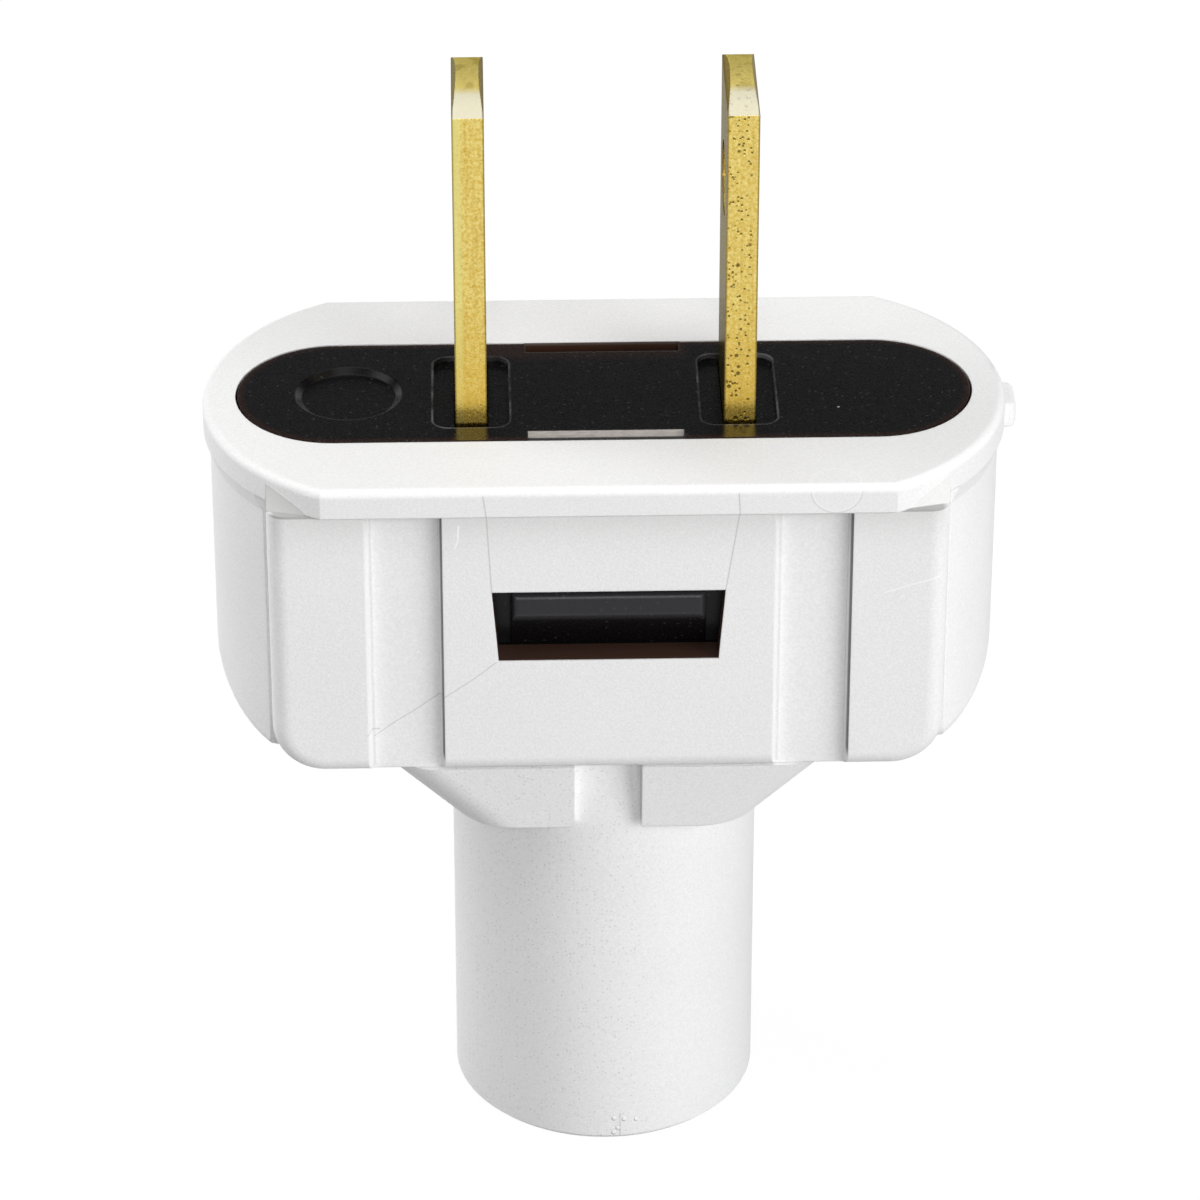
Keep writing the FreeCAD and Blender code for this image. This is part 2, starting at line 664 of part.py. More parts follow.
def make_blade(label, across):
    """A stamped strip: crowned and bevelled tip, pierced hole, ears under the plate, tapped tail."""
    body = new_body(label)
    half_width = size["blade_width"] / 2
    half_ear = size["ear_width"] / 2
    tail_bottom = floor_top + size["tail_gap"]
    shoulder_level = blade_tip - (size["tip_radius"] - third_side(size["tip_radius"], half_width))

    face = sketch_on(body, f"{label}_face", "YZ_Plane")
    path = [(half_width, shoulder_level), (half_width, plate_bottom), (half_ear, plate_bottom),
            (half_ear, tail_bottom), (-half_ear, tail_bottom), (-half_ear, plate_bottom),
            (-half_width, plate_bottom), (-half_width, shoulder_level)]
    sides = []
    for (y_from, z_from), (y_to, z_to) in zip(path, path[1:]):
        line = Part.LineSegment(Vector(y_from.value, z_from.value, 0), Vector(y_to.value, z_to.value, 0))
        sides.append(face.addGeometry(line, False))
        hold_point(face, sides[-1], 1, y_from, z_from)
    hold_point(face, sides[-1], 2, *path[-1])
    for first, second in zip(sides, sides[1:]):
        face.addConstraint(Sketcher.Constraint("Coincident", first, 2, second, 1))
    crown_centre = Vector(0, blade_tip.value - size["tip_radius"].value, 0)
    reach = math.asin(half_width.value / size["tip_radius"].value)
    crown_circle = Part.Circle(crown_centre, Vector(0, 0, 1), size["tip_radius"].value)
    crown = face.addGeometry(Part.ArcOfCircle(crown_circle, math.pi / 2 - reach, math.pi / 2 + reach), False)
    face.addConstraint(Sketcher.Constraint("Coincident", crown, 1, sides[0], 1))
    face.addConstraint(Sketcher.Constraint("Coincident", crown, 2, sides[-1], 2))
    hold(face, Sketcher.Constraint("Radius", crown, size["tip_radius"].value), size["tip_radius"])
    pad(body, f"{label}_strip", face, size["blade_thickness"], "Symmetric")

    bevel = sketch_on(body, f"{label}_bevel_section", "XZ_Plane")
    half_thickness = size["blade_thickness"] / 2
    bevel_start = blade_tip - size["tip_bevel_length"]
    outside = half_thickness + size["tip_bevel"]
    for sign in (1, -1):
        outline(bevel, [(half_thickness * sign, bevel_start, None), (outside * sign, bevel_start, None),
                        (outside * sign, blade_tip, None),
                        ((half_thickness - size["tip_bevel"]) * sign, blade_tip, None)])
    pocket(body, f"{label}_bevels", bevel, size["ear_width"], "Symmetric")

    holes = sketch_on(body, f"{label}_holes", "YZ_Plane")
    circle(holes, size["blade_hole_radius"], ORIGIN, rim_top + size["blade_hole_height"])
    circle(holes, size["thread_radius"] + size["thread_clearance"], ORIGIN, screw_level)
    pocket(body, f"{label}_pierced", holes, size["blade_thickness"] * 2, "Symmetric")
    body.setExpression("Placement.Base.x", across.text)
    doc.recompute()
    return body


def make_screws():
    """Two binding-head screws, one in the tail of each blade, with heads against the blades' outer faces."""
    body = new_body("screw")
    head_edge = size["head_height"] - size["head_crown"]

    section = sketch_on(body, "screw_section", "XZ_Plane")
    outline(section, [(-size["thread_length"], ORIGIN, None), (size["head_height"], ORIGIN, None),
                      (size["head_height"], size["head_radius"] - size["head_crown_run"], None),
                      (head_edge, size["head_radius"], None), (ORIGIN, size["head_radius"], None),
                      (ORIGIN, size["thread_radius"], None),
                      (-size["thread_length"], size["thread_radius"], None)])
    turned = body.newObject("PartDesign::Revolution", "screw_turned")
    turned.Profile = section
    turned.ReferenceAxis = (section, ["H_Axis"])
    doc.recompute()

    slot = sketch_on(body, "screw_slot_section", "XZ_Plane")
    half_slot = size["slot_width"] / 2
    rectangle(slot, size["head_height"] - size["slot_depth"], size["head_height"] + size["slot_depth"],
              -half_slot, half_slot)
    pocket(body, "screw_slot", slot, size["head_radius"] * 2, "Symmetric")
    body.setExpression("Placement.Base.x", blade_outer.text)
    body.setExpression("Placement.Base.z", screw_level.text)

    twin = doc.addObject("Part::Mirroring", "screw_twin")
    twin.Source = body
    twin.Normal = Vector(1, 0, 0)
    pair = doc.addObject("Part::Compound", "terminal_screws")
    pair.Links = [body, twin]
    pair.Label = "terminal_screws"
    doc.recompute()
    return pair


pieces = [
    make_shell(),
    make_core(),
    make_blade("blade_left", -blade_centre),
    make_blade("blade_right", blade_centre),
    make_screws(),
]
doc.recompute()

for item in doc.Objects:
    if "Invalid" in item.State or "Error" in item.State:
        raise RuntimeError(f"{item.Label} did not build: {item.State}")
for piece in pieces:
    if piece.Shape.isNull() or not piece.Shape.isValid():
        raise RuntimeError(f"{piece.Label} is not a valid shape")

os.makedirs("parts", exist_ok=True)
for piece in pieces:
    piece.Shape.exportStep(f"parts/{piece.Label}.step")
    box = piece.Shape.BoundBox
    print(piece.Label, "solids", len(piece.Shape.Solids), "volume", round(piece.Shape.Volume, 2),
          "x", round(box.XMin, 2), round(box.XMax, 2), "y", round(box.YMin, 2), round(box.YMax, 2),
          "z", round(box.ZMin, 2), round(box.ZMax, 2))
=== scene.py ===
# %% [markdown]
# # A two-blade wiring plug
#
# The plug stands on the end of its round cord neck with the two blades pointing up. Its shapes are
# already solid models: a white flexible shell, a black core that snaps into it, two brass blades and
# two hidden terminal screws. This lesson keeps those meshes and gives each one the surface that it
# has on a bench: moulded grain, witness lines of the mould, sheared metal, dust and small marks.
#
# The first cell loads the solid models. Everything is in metres, +Z runs from the neck to the blade
# tips, X runs across the two blades, and the camera stands on the -Y side.

# %% Load the solid model
import math

import bmesh
import bpy
from mathutils import Matrix, Vector

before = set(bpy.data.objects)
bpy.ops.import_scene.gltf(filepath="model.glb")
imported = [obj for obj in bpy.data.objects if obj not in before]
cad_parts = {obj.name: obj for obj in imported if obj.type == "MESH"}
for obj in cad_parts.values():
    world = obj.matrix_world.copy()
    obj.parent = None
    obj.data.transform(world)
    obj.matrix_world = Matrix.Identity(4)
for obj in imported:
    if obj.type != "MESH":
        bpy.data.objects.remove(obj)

MM = 0.001
scene = bpy.context.scene
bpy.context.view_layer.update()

# %% [markdown]
# ## Camera
#
# The view comes from a camera fit: it stands 288 mm away, 31.5 degrees above the horizon and a
# little to the left, with a long lens. A long lens keeps the plug's sides nearly parallel, as in a
# catalogue picture. The axes are written out so that the view doesn't depend on a constraint.

# %% Place the camera
LENS_MM = 177.13
SENSOR_MM = 36.0
VIEW_RIGHT = Vector((0.99971, -0.02422, 0.0))
VIEW_BACK = Vector((-0.02064, -0.85203, 0.52309))
VIEW_POINT = Vector((-6.14, -245.52, 177.88)) * MM
CLIP_NEAR = 10 * MM
CLIP_FAR = 50.0

camera_data = bpy.data.cameras.new("view_camera")
camera_data.lens = LENS_MM
camera_data.sensor_width = SENSOR_MM
camera_data.clip_start = CLIP_NEAR
camera_data.clip_end = CLIP_FAR
camera = bpy.data.objects.new("view_camera", camera_data)
scene.collection.objects.link(camera)
view_up = VIEW_BACK.cross(VIEW_RIGHT).normalized()
turn = Matrix((VIEW_RIGHT.normalized(), view_up, VIEW_BACK.normalized())).transposed()
camera.matrix_world = Matrix.Translation(VIEW_POINT) @ turn.to_4x4()
scene.camera = camera
print("camera", [round(v / MM, 1) for v in camera.location], "mm, lens", LENS_MM)

# %% [markdown]
# ## Colours and nodes
#
# Colours are written as the hex values that a colour picker shows, and shaders want linear light,
# so one function turns one into the other. A second small function adds a shader node with its
# settings and links and gives back the socket that the next node needs. With these two, a material
# reads from top to bottom like a recipe.

# %% Helpers for every material
def colour(hex_value):
    """An sRGB hex colour as linear red, green, blue and alpha."""
    parts = [int(hex_value[i:i + 2], 16) / 255 for i in (1, 3, 5)]
    return [p / 12.92 if p <= 0.04045 else ((p + 0.055) / 1.055) ** 2.4 for p in parts] + [1.0]


def add(tree, kind, inputs=None, out=0, **settings):
    """Adds a node, sets it, links or sets its inputs, and returns one output socket, or all for None."""
    made = tree.nodes.new("ShaderNode" + kind)
    for key, value in settings.items():
        setattr(made, key, value)
    for key, value in (inputs or {}).items():
        if isinstance(value, bpy.types.NodeSocket):
            tree.links.new(value, made.inputs[key])
        else:
            made.inputs[key].default_value = value
    if out is None or not made.outputs:
        return made.outputs
    return made.outputs[out]


def new_material(name):
    """An empty node material and its tree."""
    made = bpy.data.materials.new(name)
    made.use_nodes = True
    made.node_tree.nodes.clear()
    return made, made.node_tree


print("white is", [round(v, 2) for v in colour("#ffffff")])

# %% [markdown]
# ## Floor
#
# The plug stands on a white sweep. The floor is a wide dish of white paper: flat where the plug
# stands, turned up at its far edge so that a low view also ends in white. It could be a plane, but
# then a low view would show the dark room behind it. For the camera and for reflections the paper
# also glows a little, so that it looks white without any more light on the plug, and the part that
# isn't glow still takes the shadow.

# %% Make the floor
FLOOR_PROFILE = [(0.0, 0.0), (2.2, 0.0), (2.6, 0.06), (2.9, 0.25), (3.05, 0.6), (3.1, 1.2)]
FLOOR_STEPS = 64
FLOOR_GLOW = 0.75
GLOW_STRENGTH = 1.27

shape = bmesh.new()
ring = [shape.verts.new((reach, 0, height)) for reach, height in FLOOR_PROFILE]
sides = [shape.edges.new(pair) for pair in zip(ring, ring[1:])]
bmesh.ops.spin(shape, geom=ring + sides, cent=(0, 0, 0), axis=(0, 0, 1), angle=math.tau,
               steps=FLOOR_STEPS, use_merge=True)
bmesh.ops.remove_doubles(shape, verts=shape.verts, dist=0.01 * MM)
bmesh.ops.recalc_face_normals(shape, faces=shape.faces)
floor_mesh = bpy.data.meshes.new("floor")
shape.to_mesh(floor_mesh)
shape.free()
floor = bpy.data.objects.new("floor", floor_mesh)
scene.collection.objects.link(floor)

paper, tree = new_material("white_paper_sweep")
path = add(tree, "LightPath", out=None)
seen = add(tree, "Math", {0: path["Is Camera Ray"], 1: path["Is Glossy Ray"]}, operation="MAXIMUM")
seen = add(tree, "Math", {0: seen, 1: path["Is Transmission Ray"]}, operation="MAXIMUM")
glow_share = add(tree, "Math", {0: seen, 1: FLOOR_GLOW}, operation="MULTIPLY")
matt = add(tree, "BsdfDiffuse", {"Color": colour("#8a8a8a")})
glow = add(tree, "Emission", {"Color": colour("#ffffff"), "Strength": GLOW_STRENGTH})
sweep = add(tree, "MixShader", {0: glow_share, 1: matt, 2: glow})
add(tree, "OutputMaterial", {"Surface": sweep})
floor_mesh.materials.append(paper)
print("floor", len(floor_mesh.polygons), "faces at the neck's end")

# %% [markdown]
# ## Light
#
# Plain soft studio light. The largest lamp hangs overhead and gives the light rim and the white glint
# on the blade tips. A low one on the right leaves the left of the round neck darker. Two on the left,
# one high and one low and further back, open up the left end of the body and give the neck a thin
# light edge. A small one near the camera puts the glint on the core's pry notch.
#
# A low lamp would show as a white mirror image on the flat black core, seen from the side opposite
# to it. It could be made weaker, but then the shell would lose its shade, so glossy rays don't see
# the two low lamps.

# %% Make the light
WORLD_LEVEL = 0.05
LAMP_DISTANCE = 0.60
PLUG_MIDDLE = Vector((0, 0, 28 * MM))
LAMPS = {
    # name: direction from the plug, watts, side in metres
    "overhead_lamp": ((0.08, 0.10, 1.0), 1.96, 0.60),
    "right_lamp": ((0.71, -0.65, 0.27), 2.80, 0.44),
    "left_lamp": ((-0.78, 0.02, 0.62), 1.10, 0.40),
    "edge_lamp": ((-0.84, 0.40, 0.20), 1.58, 0.26),
    "front_lamp": ((0.04, -0.88, 0.47), 0.99, 0.20),
}
LOW_LAMPS = {"right_lamp", "edge_lamp"}

studio = bpy.data.worlds.new("studio")
studio.use_nodes = True
studio.node_tree.nodes.clear()
tree = studio.node_tree
dome = add(tree, "Background", {"Color": colour("#ffffff"), "Strength": WORLD_LEVEL})
add(tree, "OutputWorld", {"Surface": dome})
scene.world = studio

for name, (towards, watts, side) in LAMPS.items():
    data = bpy.data.lights.new(name, "AREA")
    data.energy = watts
    data.size = side
    lamp = bpy.data.objects.new(name, data)
    scene.collection.objects.link(lamp)
    line = Vector(towards).normalized()
    lamp.matrix_world = (Matrix.Translation(PLUG_MIDDLE + line * LAMP_DISTANCE)
                         @ line.to_track_quat("Z", "Y").to_matrix().to_4x4())
    lamp.visible_glossy = name not in LOW_LAMPS
scene.view_settings.view_transform = "Standard"
print("lamps", sorted(LAMPS))

# %% [markdown]
# ## Where a mark lies
#
# Many small marks sit at known places of the plug: lines that the mould leaves, stains, scratches.
# They could be painted on an image, but then the piece would need a UV map. Here each mark is a
# number between 0 and 1 worked out from the piece's own coordinates in millimetres, so it stays on
# its place from every side. The helpers make such numbers for a range, a straight line, the long
# round outline of the core and scattered specks. The last one lays coats of colour where they say.

# %% Helpers for marks
def object_mm(tree):
    """The piece's own coordinates in millimetres, as one vector and as x, y and z."""
    place = add(tree, "TexCoord", out="Object")
    place = add(tree, "VectorMath", {0: place, "Scale": 1 / MM}, operation="SCALE")
    return (place, *add(tree, "SeparateXYZ", {0: place}, out=None))


def between(tree, value, low, high, soft=0.01):
    """1 where the value lies in the range, falling to 0 over a soft width outside it."""
    rise = add(tree, "MapRange", {"Value": value, "From Min": low - soft, "From Max": low})
    fall = add(tree, "MapRange", {"Value": value, "From Min": high + soft, "From Max": high})
    return add(tree, "Math", {0: rise, 1: fall}, operation="MULTIPLY")


def combine(tree, values, operation):
    """One number from several, such as their product or the largest."""
    total = values[0]
    for value in values[1:]:
        total = add(tree, "Math", {0: total, 1: value}, operation=operation)
    return total


def hairline(tree, across, up, start, end, width):
    """1 on the straight line between two points, 0 beside it. Points are (across, up) pairs in mm."""
    run = Vector(end) - Vector(start)
    along = run.normalized()
    du = add(tree, "Math", {0: across, 1: start[0]}, operation="SUBTRACT")
    dv = add(tree, "Math", {0: up, 1: start[1]}, operation="SUBTRACT")
    aside = add(tree, "Math", {0: du, 1: along[1]}, operation="MULTIPLY")
    aside = add(tree, "Math", {0: dv, 1: -along[0], 2: aside}, operation="MULTIPLY_ADD")
    aside = add(tree, "Math", {0: aside}, operation="ABSOLUTE")
    reach = add(tree, "Math", {0: du, 1: along[0]}, operation="MULTIPLY")
    reach = add(tree, "Math", {0: dv, 1: along[1], 2: reach}, operation="MULTIPLY_ADD")
    on_line = add(tree, "MapRange", {"Value": aside, "From Min": width, "From Max": width * 0.3},
                  interpolation_type="SMOOTHSTEP")
    return combine(tree, [on_line, between(tree, reach, 0, run.length)], "MULTIPLY")


def rod_distance(tree, x, y, half_length):
    """Distance from a line along X of that half length, which makes a long round outline."""
    past = add(tree, "Math", {0: x}, operation="ABSOLUTE")
    past = add(tree, "Math", {0: past, 1: half_length}, operation="SUBTRACT")
    past = add(tree, "Math", {0: past, 1: 0.0}, operation="MAXIMUM")
    flat = add(tree, "CombineXYZ", {0: past, 1: y})
    return add(tree, "VectorMath", {0: flat}, out="Value", operation="LENGTH")


def specks(tree, place, cell_mm, radius_mm, kept):
    """Round specks, one at most in each cell, in the given share of the cells."""
    cell = add(tree, "TexVoronoi", {"Vector": place, "Scale": 1 / cell_mm}, out=None)
    radius = radius_mm / cell_mm
    spot = add(tree, "MapRange", {"Value": cell["Distance"], "From Min": radius, "From Max": radius * 0.6})
    chance = add(tree, "SeparateColor", {0: cell["Color"]})
    picked = add(tree, "Math", {0: chance, 1: 1 - kept}, operation="GREATER_THAN")
    return combine(tree, [spot, picked], "MULTIPLY")


def coats(tree, base, layers):
    """Lays coats over a base colour, each one a (where, strength, colour) triple."""
    for where, strength, shown in layers:
        share = add(tree, "Math", {0: where, 1: strength}, operation="MULTIPLY")
        base = add(tree, "Mix", {0: share, 6: base, 7: shown}, out=2, data_type="RGBA")
    return base


print("marks are measured in", MM, "m")

# %% [markdown]
# ## Shell: lines of the mould
#
# The shell is soft PVC from a steel mould, and thin lines tell how. The sides of the mould's slide
# leave a trapezoid above each window. A knit line runs down from one window's corner, where two
# streams of molten plastic met. The two halves of the mould part at the neck's end, and an ejector
# pin leaves a round outline on the band. They could be cut into the solid, but they are only a few
# hundredths of a millimetre deep, so they are drawn in colour: darker lines are painted shade of
# these tiny grooves and steps, and a white ring is a painted highlight on the pin's ridge. All sizes
# from here on are in millimetres.

# %% Shell: lines of the mould
WANDER_CELL, WANDER = 1.5, 0.15
WITNESS_WIDTH = 0.05
SLIDE_SIDES = [((-5.50, 33.2), (-5.72, 37.45)), ((-5.72, 37.45), (-5.86, 38.6)),
               ((5.50, 33.2), (6.12, 37.45)), ((6.12, 37.45), (6.05, 38.6))]
KNIT_ENDS, KNIT_WIDTH = ((-5.2, 29.35), (-11.2, 24.9)), 0.04
TICK_ENDS, TICK_WIDTH = ((-11.5, 25.3), (-10.9, 25.3)), 0.06
PARTING_ENDS, PARTING_WIDTH = ((0.63, 0.2), (0.63, 1.6)), 0.05
PIN_CENTRE = (10.6, -8.9, 38.7)
PIN_GROOVE, PIN_GROOVE_Z, PIN_RIDGE = (1.27, 1.30), (37.3, 38.5), (1.19, 1.23)

vinyl, tree = new_material("flexible_pvc_moulded_white")
place, x, y, z = object_mm(tree)
x_size = add(tree, "Math", {0: x}, operation="ABSOLUTE")
y_size = add(tree, "Math", {0: y}, operation="ABSOLUTE")
front = add(tree, "Math", {0: y, 1: 0.0}, operation="LESS_THAN")
wander = add(tree, "TexNoise", {"Vector": place, "Scale": 1 / WANDER_CELL, "Detail": 0.0})
wander = add(tree, "MapRange", {"Value": wander, "To Min": -WANDER, "To Max": WANDER})
x_loose = add(tree, "Math", {0: x, 1: wander}, operation="ADD")

witness = [hairline(tree, x, z, *side, WITNESS_WIDTH) for side in SLIDE_SIDES]
witness = combine(tree, witness, "MAXIMUM")
knit = hairline(tree, x_loose, z, *KNIT_ENDS, KNIT_WIDTH)
tick = hairline(tree, x, z, *TICK_ENDS, TICK_WIDTH)
parting = hairline(tree, x, z, *PARTING_ENDS, PARTING_WIDTH)
front_lines = combine(tree, [knit, tick, parting], "MAXIMUM")
front_lines = combine(tree, [front_lines, front], "MULTIPLY")
pin = add(tree, "VectorMath", {0: place, 1: PIN_CENTRE}, out="Value", operation="DISTANCE")
pin_groove = between(tree, pin, *PIN_GROOVE, soft=0.03)
pin_groove = combine(tree, [pin_groove, between(tree, z, *PIN_GROOVE_Z, soft=0.2)], "MULTIPLY")
pin_groove = add(tree, "Math", {0: pin_groove, 1: 0.6}, operation="MULTIPLY")
# Painted highlight: a white ring on the ejector pin's ridge.
pin_ridge_highlight = between(tree, pin, *PIN_RIDGE, soft=0.03)
pin_ridge_highlight = add(tree, "Math", {0: pin_ridge_highlight, 1: 0.55}, operation="MULTIPLY")
# Painted shade: the mould lines and the pin's groove are coloured darker.
painted_line_shade = combine(tree, [witness, front_lines, pin_groove], "MAXIMUM")
print("shell lines:", len(tree.nodes), "nodes")

# %% [markdown]
# ## Shell: scratches and chips
#
# Two scratches on the front and small chips at the neck's end are drawn white. Scratches could be
# grooves in the mesh that catch the light. A white line that wanders a little looks the same and costs
# nothing, so the scratches are a painted highlight, and so is the pin's ridge that joins them. The
# chips are white wear and also raise the bump.

# %% Shell: scratches and chips
SCRATCHES = [((13.0, 32.95), (15.5, 33.75)), ((-6.95, 36.9), (-7.05, 36.0)),
             ((-7.05, 36.0), (-7.25, 35.6))]
SCRATCH_WIDTH = 0.06
CHIP_CELL, CHIP_RADIUS, CHIPS_KEPT = 0.55, 0.14, 0.6
CHIPS_Z, CHIPS_X = (0.3, 1.6), (-1.4, 1.4)

scratch_highlight_and_chips = [hairline(tree, x_loose, z, *ends, SCRATCH_WIDTH) for ends in SCRATCHES]
scratch_highlight_and_chips = combine(tree, scratch_highlight_and_chips, "MAXIMUM")
chips = specks(tree, place, CHIP_CELL, CHIP_RADIUS, CHIPS_KEPT)
chips = combine(tree, [chips, between(tree, z, *CHIPS_Z, soft=0.4), between(tree, x, *CHIPS_X, soft=0.3)],
                "MULTIPLY")
# Painted highlight on the scratches and the pin's ridge; the chips are white wear.
scratch_highlight_and_chips = combine(tree, [scratch_highlight_and_chips, chips, pin_ridge_highlight], "MAXIMUM")
scratch_highlight_and_chips = combine(tree, [scratch_highlight_and_chips, front], "MULTIPLY")
print("scratches:", len(SCRATCHES), "lines")

# %% [markdown]
# ## Shell: painted shade
#
# Shade is painted into the colour where less light falls: dark on the channels' side walls that
# face left, thin lines along the channels' feet, a dark line and a soft veil under the band, and
# darker patches on the band's tapered corners, most on the left one. The inner walls round the core,
# the windows and the wall seen behind the back notch are painted brown-black as shade. The surface's
# own direction tells a wall or a taper from a face.

# %% Shell: painted shade
PAD_Y, PAD_X = (8.3, 9.12), (0.0, 15.6)
WALL_Y, WALL_Z = (8.84, 9.06), (24.2, 37.3)
INNER_WALL_X, OUTER_WALL_X = (7.7, 8.1), (11.1, 11.6)
UNDER_BAND_Z = (37.36, 37.47)
VEIL_START, VEIL_END, VEIL_Z = 34.4, 37.45, (30.0, 37.47)
FOOT_LEFT_X, FOOT_RIGHT_X, FOOT_Z, FOOT_Y = (-11.22, -11.14), (8.03, 8.11), (23.2, 37.4), (8.40, 8.50)
CORNER_X, CORNER_Z, CORNER_TILT = (13.2, 16.02), (37.44, 38.52), (0.25, 0.80)
CORE_HALF_LENGTH = 12.85
SEAT_RADIUS, SEAT_Z = (0.0, 4.78), (24.8, 38.7)
WINDOW_X, WINDOW_Z, WINDOW_Y = (0.0, 5.8), (29.2, 33.5), (0.0, 9.0)
BACK_NOTCH_X, BACK_NOTCH_Y, BACK_NOTCH_Z = (0.0, 3.75), (4.3, 4.95), (37.0, 38.87)

facing = add(tree, "SeparateXYZ", {0: add(tree, "NewGeometry", out="True Normal")}, out=None)
faces_left = add(tree, "Math", {0: facing["X"], 1: -0.6}, operation="LESS_THAN")
wall = combine(tree, [between(tree, y_size, *WALL_Y, soft=0.14), between(tree, z, *WALL_Z, soft=0.5)],
               "MULTIPLY")
# Painted shade: the channels' side walls that face left are coloured dark.
painted_wall_shade = combine(tree, [between(tree, x_size, *INNER_WALL_X), between(tree, x_size, *OUTER_WALL_X)],
                  "MAXIMUM")
painted_wall_shade = combine(tree, [painted_wall_shade, faces_left, wall], "MULTIPLY")
on_pads = combine(tree, [between(tree, y_size, *PAD_Y), between(tree, x_size, *PAD_X, soft=0.3)], "MULTIPLY")
# Painted shadow: a dark line on the pads just under the band's edge.
painted_band_shadow = combine(tree, [between(tree, z, *UNDER_BAND_Z, soft=0.03), on_pads], "MULTIPLY")
# Painted shade: a soft darkening on the pads, growing towards the band above.
painted_veil_shade = add(tree, "MapRange", {"Value": z, "From Min": VEIL_START, "From Max": VEIL_END})
painted_veil_shade = combine(tree, [painted_veil_shade, painted_veil_shade, on_pads, between(tree, z, *VEIL_Z)], "MULTIPLY")
# Painted shade: thin darker lines at the feet of the channel walls that face right.
painted_foot_shade = combine(tree, [between(tree, x, *FOOT_LEFT_X, soft=0.04), between(tree, x, *FOOT_RIGHT_X, soft=0.04)],
               "MAXIMUM")
painted_foot_shade = combine(tree, [painted_foot_shade, between(tree, z, *FOOT_Z), between(tree, y_size, *FOOT_Y)], "MULTIPLY")

# Painted shade: the upward-tilted tapers at the band's front corners are coloured a little darker.
painted_corner_shade = combine(tree, [between(tree, x_size, *CORNER_X, soft=0.02), between(tree, z, *CORNER_Z),
                        between(tree, facing["Z"], *CORNER_TILT, soft=0.05), front], "MULTIPLY")
# Painted shade: the left taper is darker still than the right one.
left_half = add(tree, "Math", {0: x, 1: 0.0}, operation="LESS_THAN")
painted_left_corner_shade = combine(tree, [painted_corner_shade, left_half], "MULTIPLY")

# Painted shade: brown-black on the shell's inner walls round the core and in the windows.
seat = between(tree, rod_distance(tree, x, y, CORE_HALF_LENGTH), *SEAT_RADIUS, soft=0.03)
seat = combine(tree, [seat, between(tree, z, *SEAT_Z, soft=0.1)], "MULTIPLY")
opening = combine(tree, [between(tree, x_size, *WINDOW_X), between(tree, z, *WINDOW_Z),
                         between(tree, y_size, *WINDOW_Y, soft=0.06)], "MULTIPLY")
painted_inner_shade = combine(tree, [seat, opening], "MAXIMUM")
# Painted shade: brown-black on the inner wall seen through the core's back notch.
painted_notch_shade = combine(tree, [between(tree, x_size, *BACK_NOTCH_X, soft=0.05),
                              between(tree, y, *BACK_NOTCH_Y),
                              between(tree, z, *BACK_NOTCH_Z, soft=0.02)], "MULTIPLY")
print("shell marks:", len(tree.nodes), "nodes")

# %% [markdown]
# ## Shell: white flexible vinyl, moulded
#
# The mould was spark-eroded, so the eye sees a satin white with a very fine pebble, tiny bright specks
# and a coarser dark stipple on one side of the neck. The pebble could be modelled, but it is a few
# thousandths of a millimetre high, so it is bump. Real pebble is about 0.05 mm across, which is less
# than a pixel here, so it is drawn at 0.12 mm, and the stipple at 0.2 mm.

# %% Shell: colour and skin
PEBBLE = 0.12
FLOW = 6.0
GLINT_CELL, GLINT_RADIUS, GLINTS_KEPT = 0.5, 0.07, 0.5
STIPPLE_CELL, STIPPLE_RADIUS, STIPPLE_KEPT = 0.20, 0.055, 0.5
STIPPLE_Z, STIPPLE_X = (0.3, 23.0), (-9.0, 1.0)
CHIP_HEIGHT = 5.0
EDGE_RADIUS = 0.10
PEBBLE_HEIGHT = 0.009
PVC_IOR = 1.53

pebble = add(tree, "TexNoise", {"Vector": place, "Scale": 1 / PEBBLE, "Detail": 1.0, "Roughness": 0.6})
flow = add(tree, "TexNoise", {"Vector": place, "Scale": 1 / FLOW, "Detail": 2.0})
glint = specks(tree, place, GLINT_CELL, GLINT_RADIUS, GLINTS_KEPT)
stipple = combine(tree, [specks(tree, place, STIPPLE_CELL, STIPPLE_RADIUS, STIPPLE_KEPT),
                         between(tree, z, *STIPPLE_Z, soft=0.3), between(tree, x, *STIPPLE_X, soft=3.0)],
                  "MULTIPLY")

white = coats(tree, colour("#f3f3f3"), [(flow, 1.0, colour("#f9f9f9"))])
shade = add(tree, "MapRange", {"Value": pebble, "From Min": 0.3, "From Max": 0.7,
                               "To Min": 0.95, "To Max": 1.03})
white = add(tree, "VectorMath", {0: white, "Scale": shade}, operation="SCALE")
white = coats(tree, white, [
    (glint, 1.0, colour("#fdfdfd")),
    (painted_veil_shade, 0.30, colour("#a9a9a6")),
    (painted_foot_shade, 0.25, colour("#a9a9a6")),
    (painted_line_shade, 0.38, colour("#9a9a97")),
    (painted_band_shadow, 0.55, colour("#7c7c79")),
    (painted_wall_shade, 0.85, colour("#30302e")),
    (painted_corner_shade, 0.38, colour("#cfcfcc")),
    (painted_left_corner_shade, 0.65, colour("#b0b0ad")),
    (stipple, 0.32, colour("#a6a6a3")),
    (scratch_highlight_and_chips, 1.0, colour("#ffffff")),
    (painted_inner_shade, 1.0, colour("#453027")),
    (painted_notch_shade, 0.9, colour("#4a3022")),
])

